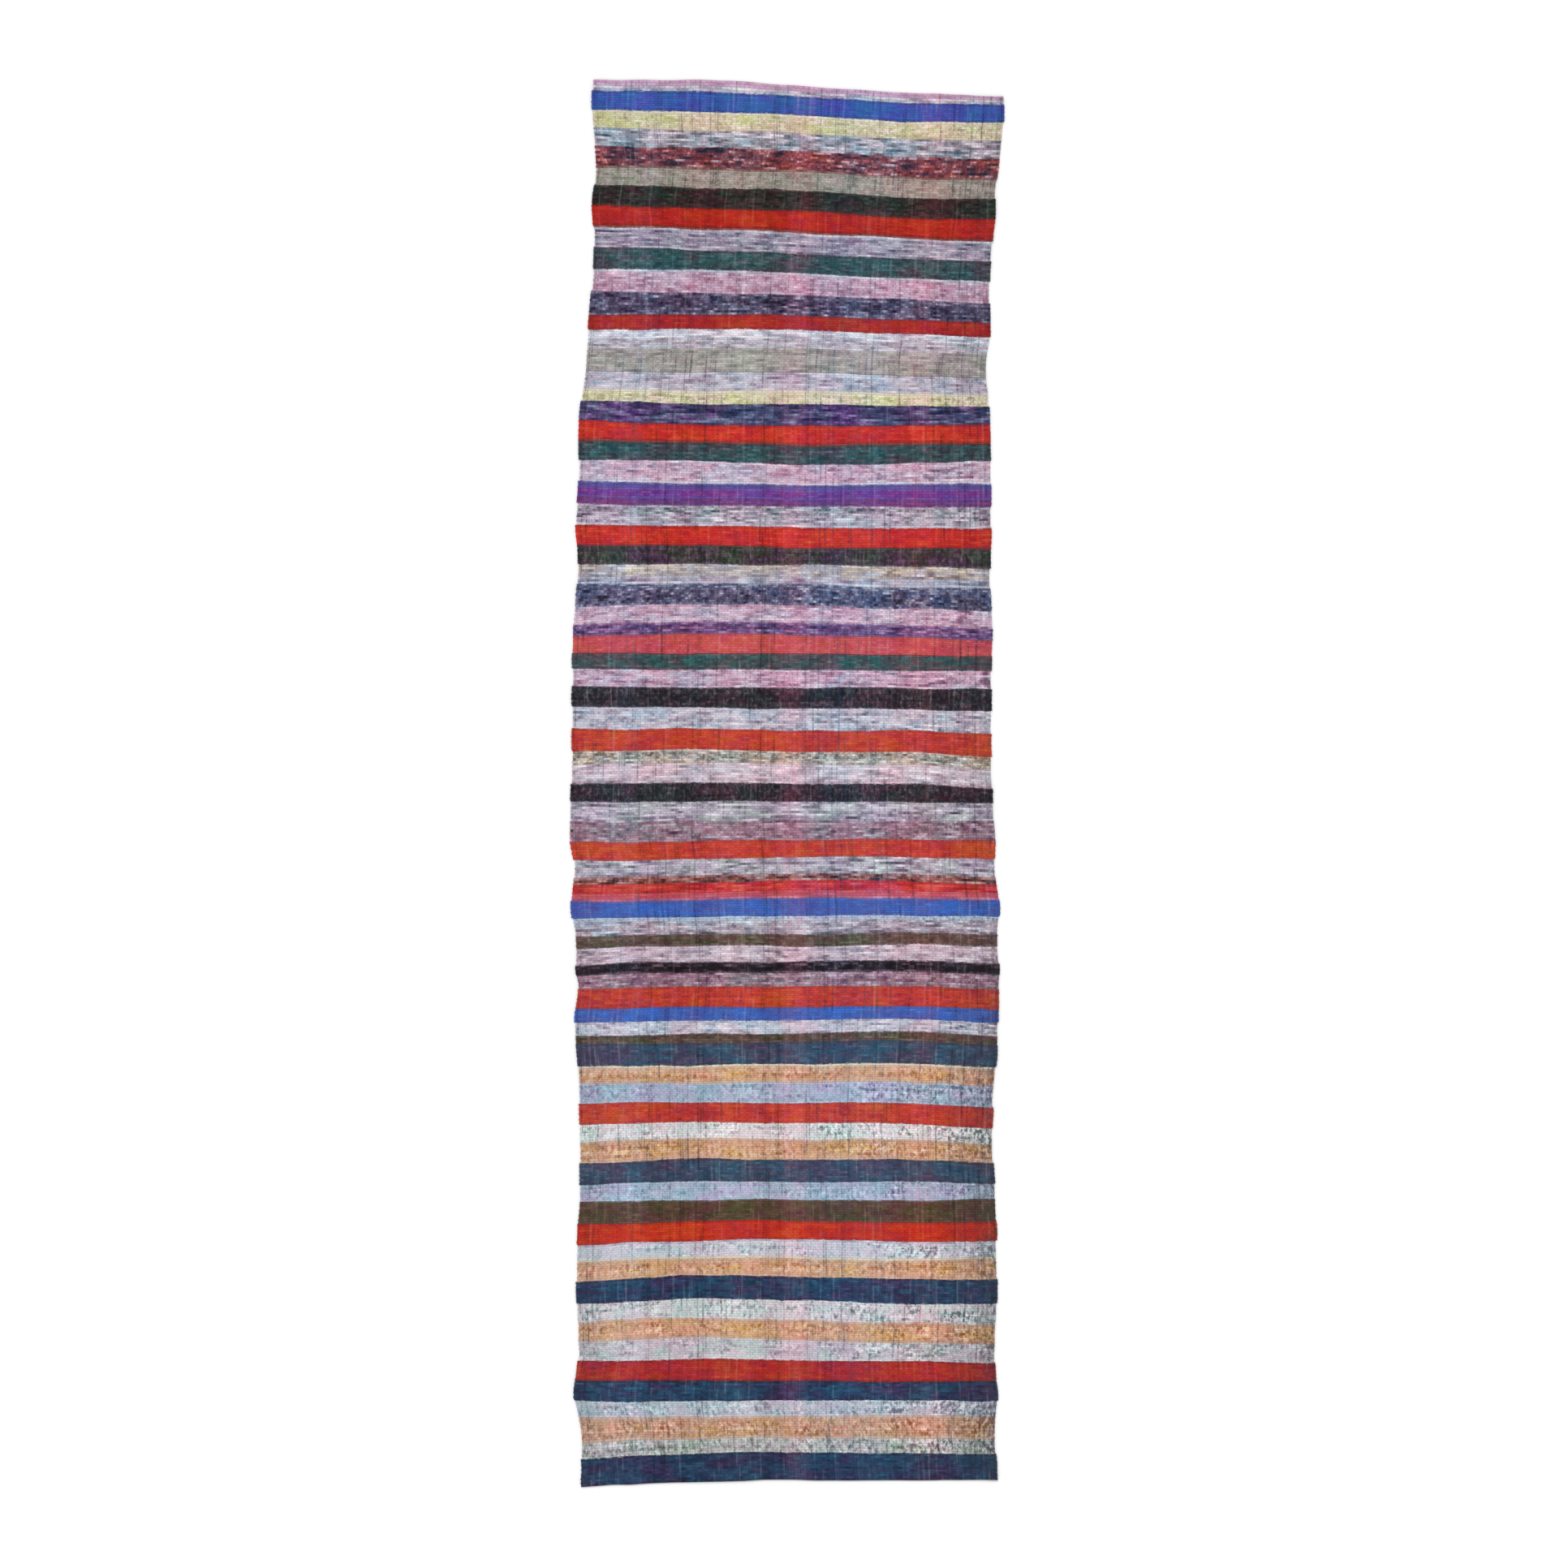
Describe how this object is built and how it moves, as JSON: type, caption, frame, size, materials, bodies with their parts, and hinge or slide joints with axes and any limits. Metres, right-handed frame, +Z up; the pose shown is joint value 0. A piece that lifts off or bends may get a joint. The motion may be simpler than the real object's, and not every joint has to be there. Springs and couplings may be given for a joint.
{
  "type": "flat-woven rag kilim runner",
  "caption": "Long flat-woven rag runner in cross stripes of many colours, one panel with uneven hand-woven selvedges and turned hems, laid flat.",
  "frame": {"origin": "middle of the cloth's box at the underside, on the floor that it lies on", "axes": "+Y along the runner towards the end with the thin rose band, +X across it, +Z up out of the floor"},
  "size_m": [0.8298, 2.687, 0.005],
  "materials": {
    "rag_weave": "matt woven cotton rags in cross stripes of red, navy, teal, black, violet, peach, pale yellow and pale greys"
  },
  "bodies": {
    "root": {"woven_cloth": "rag_weave"}
  },
  "joints": []
}
